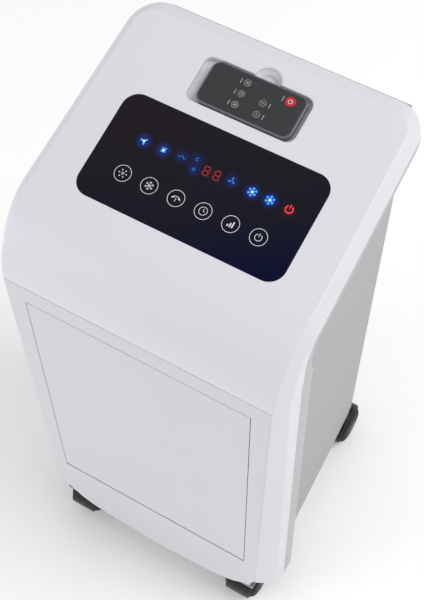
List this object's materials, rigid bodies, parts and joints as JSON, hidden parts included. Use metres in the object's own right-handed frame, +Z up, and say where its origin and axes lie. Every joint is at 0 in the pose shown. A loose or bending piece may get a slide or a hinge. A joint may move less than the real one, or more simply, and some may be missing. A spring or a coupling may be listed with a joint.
{
  "type": "evaporative air cooler",
  "caption": "Upright room air cooler on casters: sloping touch panel with a docked card remote, tilting front door over louvred outlet, rear pad cassette and water tank.",
  "frame": {"origin": "centre of the footprint on the floor, at the casters' lowest point", "axes": "+Z up, -Y out of the front door, +X to the right seen from the front"},
  "size_m": [0.2756, 0.2664, 0.5978],
  "materials": {
    "white_shell": "satin",
    "display_black": "polished",
    "circuit_board": "matte",
    "grey_body": "satin",
    "dark_base": "matte",
    "grey_duct": "matte",
    "white_trim": "satin",
    "motor_steel": "satin",
    "bronze": "satin",
    "hose_clear": "satin",
    "black_plastic": "satin",
    "steel": "satin",
    "remote_black": "satin",
    "key_red": "satin",
    "key_grey": "matte",
    "filter_mesh": "matte",
    "pad_paper": "matte",
    "tank_clear": "satin",
    "caster_black": "satin",
    "caster_rubber": "matte"
  },
  "bodies": {
    "cabinet": {"top_front_shell": "white_shell", "body_rim": "grey_body", "front_panel": "white_shell", "display_glass": "display_black", "control_board": "circuit_board", "remote_tray": "white_shell", "side_panel_left": "grey_body", "side_panel_right": "grey_body", "rear_frame": "grey_body", "base_plate": "dark_base", "outlet_frame": "grey_duct", "fan_housing": "grey_duct", "fan_motor": "motor_steel", "shaft_bush": "bronze", "swing_motor": "motor_steel", "door_motor": "motor_steel", "water_tray": "white_trim", "riser_hose": "hose_clear", "ioniser": "black_plastic", "power_board": "circuit_board", "cord_gland": "black_plastic", "case_screws": "steel"},
    "door": {"front_door": "white_shell"},
    "fan": {"fan_wheel": "black_plastic", "fan_shaft": "steel"},
    "remote": {"remote_shell": "remote_black", "battery_tray": "remote_black"},
    "pad_cassette": {"rear_grille": "grey_body", "dust_filter": "filter_mesh", "cooling_pad": "pad_paper"},
    "tank": {"water_tank": "tank_clear", "pump": "black_plastic"},
    "louvre_1": {"louvre_1": "white_trim"},
    "louvre_2": {"louvre_2": "white_trim"},
    "louvre_3": {"louvre_3": "white_trim"},
    "louvre_4": {"louvre_4": "white_trim"},
    "louvre_link": {"louvre_link": "white_trim"},
    "vane_1": {"vane_1": "grey_duct"},
    "vane_2": {"vane_2": "grey_duct"},
    "vane_3": {"vane_3": "grey_duct"},
    "vane_4": {"vane_4": "grey_duct"},
    "vane_link": {"vane_link": "grey_duct"},
    "power_key": {"power_key": "key_red"},
    "speed_key": {"speed_key": "key_grey"},
    "timer_key": {"timer_key": "key_grey"},
    "cool_key": {"cool_key": "key_grey"},
    "swing_key": {"swing_key": "key_grey"},
    "ion_key": {"ion_key": "key_grey"},
    "caster_fl": {"caster_hood_fl": "caster_black", "caster_axle_fl": "steel"},
    "wheels_fl": {"caster_wheels_fl": "caster_rubber"},
    "caster_fr": {"caster_hood_fr": "caster_black", "caster_axle_fr": "steel"},
    "wheels_fr": {"caster_wheels_fr": "caster_rubber"},
    "caster_rl": {"caster_hood_rl": "caster_black", "caster_axle_rl": "steel"},
    "wheels_rl": {"caster_wheels_rl": "caster_rubber"},
    "caster_rr": {"caster_hood_rr": "caster_black", "caster_axle_rr": "steel"},
    "wheels_rr": {"caster_wheels_rr": "caster_rubber"}
  },
  "joints": [
    {"name": "door_tilt", "type": "hinge", "parent": "cabinet", "child": "door", "pos_m": [0, -0.12925, 0.1363], "axis": [1, 0, 0], "range_deg": [0, 25]},
    {"name": "louvre_1_tilt", "type": "hinge", "parent": "cabinet", "child": "louvre_1", "pos_m": [0, -0.10925, 0.309], "axis": [1, 0, 0], "range_deg": [-30, 30]},
    {"name": "louvre_2_tilt", "type": "hinge", "parent": "cabinet", "child": "louvre_2", "pos_m": [0, -0.10925, 0.347], "axis": [1, 0, 0], "range_deg": [-30, 30]},
    {"name": "louvre_3_tilt", "type": "hinge", "parent": "cabinet", "child": "louvre_3", "pos_m": [0, -0.10925, 0.385], "axis": [1, 0, 0], "range_deg": [-30, 30]},
    {"name": "louvre_4_tilt", "type": "hinge", "parent": "cabinet", "child": "louvre_4", "pos_m": [0, -0.10925, 0.423], "axis": [1, 0, 0], "range_deg": [-30, 30]},
    {"name": "louvre_link_pivot", "type": "hinge", "parent": "louvre_1", "child": "louvre_link", "pos_m": [0.098, -0.09725, 0.309], "axis": [1, 0, 0], "range_deg": [-30, 30]},
    {"name": "vane_1_swing", "type": "hinge", "parent": "cabinet", "child": "vane_1", "pos_m": [-0.066, -0.07125, 0.36], "axis": [0, 0, 1], "range_deg": [-30, 30]},
    {"name": "vane_2_swing", "type": "hinge", "parent": "cabinet", "child": "vane_2", "pos_m": [-0.022, -0.07125, 0.36], "axis": [0, 0, 1], "range_deg": [-30, 30]},
    {"name": "vane_3_swing", "type": "hinge", "parent": "cabinet", "child": "vane_3", "pos_m": [0.022, -0.07125, 0.36], "axis": [0, 0, 1], "range_deg": [-30, 30]},
    {"name": "vane_4_swing", "type": "hinge", "parent": "cabinet", "child": "vane_4", "pos_m": [0.066, -0.07125, 0.36], "axis": [0, 0, 1], "range_deg": [-30, 30]},
    {"name": "vane_link_pivot", "type": "hinge", "parent": "vane_1", "child": "vane_link", "pos_m": [-0.066, -0.05925, 0.4407], "axis": [0, 0, 1], "range_deg": [-30, 30]},
    {"name": "fan_spin", "type": "hinge", "parent": "cabinet", "child": "fan", "pos_m": [0, 0.01175, 0.366], "axis": [1, 0, 0], "continuous": true},
    {"name": "remote_lift", "type": "slide", "parent": "cabinet", "child": "remote", "axis": [0, -0.2494, 0.9684], "range_m": [0, 0.06]},
    {"name": "power_key_press", "type": "slide", "parent": "remote", "child": "power_key", "axis": [0, 0.2494, -0.9684], "range_m": [0, 0.0006], "stiffness_N_per_m": 600, "springref_m": -0.0003},
    {"name": "speed_key_press", "type": "slide", "parent": "remote", "child": "speed_key", "axis": [0, 0.2494, -0.9684], "range_m": [0, 0.0006], "stiffness_N_per_m": 600, "springref_m": -0.0003},
    {"name": "timer_key_press", "type": "slide", "parent": "remote", "child": "timer_key", "axis": [0, 0.2494, -0.9684], "range_m": [0, 0.0006], "stiffness_N_per_m": 600, "springref_m": -0.0003},
    {"name": "cool_key_press", "type": "slide", "parent": "remote", "child": "cool_key", "axis": [0, 0.2494, -0.9684], "range_m": [0, 0.0006], "stiffness_N_per_m": 600, "springref_m": -0.0003},
    {"name": "swing_key_press", "type": "slide", "parent": "remote", "child": "swing_key", "axis": [0, 0.2494, -0.9684], "range_m": [0, 0.0006], "stiffness_N_per_m": 600, "springref_m": -0.0003},
    {"name": "ion_key_press", "type": "slide", "parent": "remote", "child": "ion_key", "axis": [0, 0.2494, -0.9684], "range_m": [0, 0.0006], "stiffness_N_per_m": 600, "springref_m": -0.0003},
    {"name": "pad_cassette_slide", "type": "slide", "parent": "cabinet", "child": "pad_cassette", "axis": [0, 1, 0], "range_m": [0, 0.12]},
    {"name": "tank_slide", "type": "slide", "parent": "cabinet", "child": "tank", "axis": [0, 1, 0], "range_m": [0, 0.2]},
    {"name": "caster_fl_swivel", "type": "hinge", "parent": "cabinet", "child": "caster_fl", "pos_m": [-0.1, -0.08875, 0.06], "axis": [0, 0, 1], "continuous": true},
    {"name": "caster_fr_swivel", "type": "hinge", "parent": "cabinet", "child": "caster_fr", "pos_m": [0.1, -0.08875, 0.06], "axis": [0, 0, 1], "continuous": true},
    {"name": "caster_rl_swivel", "type": "hinge", "parent": "cabinet", "child": "caster_rl", "pos_m": [-0.1, 0.08975, 0.06], "axis": [0, 0, 1], "continuous": true},
    {"name": "caster_rr_swivel", "type": "hinge", "parent": "cabinet", "child": "caster_rr", "pos_m": [0.1, 0.08975, 0.06], "axis": [0, 0, 1], "continuous": true},
    {"name": "wheels_fl_roll", "type": "hinge", "parent": "caster_fl", "child": "wheels_fl", "pos_m": [-0.1, -0.10675, 0.0235], "axis": [1, 0, 0], "continuous": true},
    {"name": "wheels_fr_roll", "type": "hinge", "parent": "caster_fr", "child": "wheels_fr", "pos_m": [0.1, -0.10675, 0.0235], "axis": [1, 0, 0], "continuous": true},
    {"name": "wheels_rl_roll", "type": "hinge", "parent": "caster_rl", "child": "wheels_rl", "pos_m": [-0.1, 0.10775, 0.0235], "axis": [1, 0, 0], "continuous": true},
    {"name": "wheels_rr_roll", "type": "hinge", "parent": "caster_rr", "child": "wheels_rr", "pos_m": [0.1, 0.10775, 0.0235], "axis": [1, 0, 0], "continuous": true}
  ],
  "couplings": [
    {"joint": "louvre_2_tilt", "follows": "louvre_1_tilt", "ratio": 1},
    {"joint": "louvre_3_tilt", "follows": "louvre_1_tilt", "ratio": 1},
    {"joint": "louvre_4_tilt", "follows": "louvre_1_tilt", "ratio": 1},
    {"joint": "louvre_link_pivot", "follows": "louvre_1_tilt", "ratio": -1},
    {"joint": "vane_2_swing", "follows": "vane_1_swing", "ratio": 1},
    {"joint": "vane_3_swing", "follows": "vane_1_swing", "ratio": 1},
    {"joint": "vane_4_swing", "follows": "vane_1_swing", "ratio": 1},
    {"joint": "vane_link_pivot", "follows": "vane_1_swing", "ratio": -1}
  ]
}
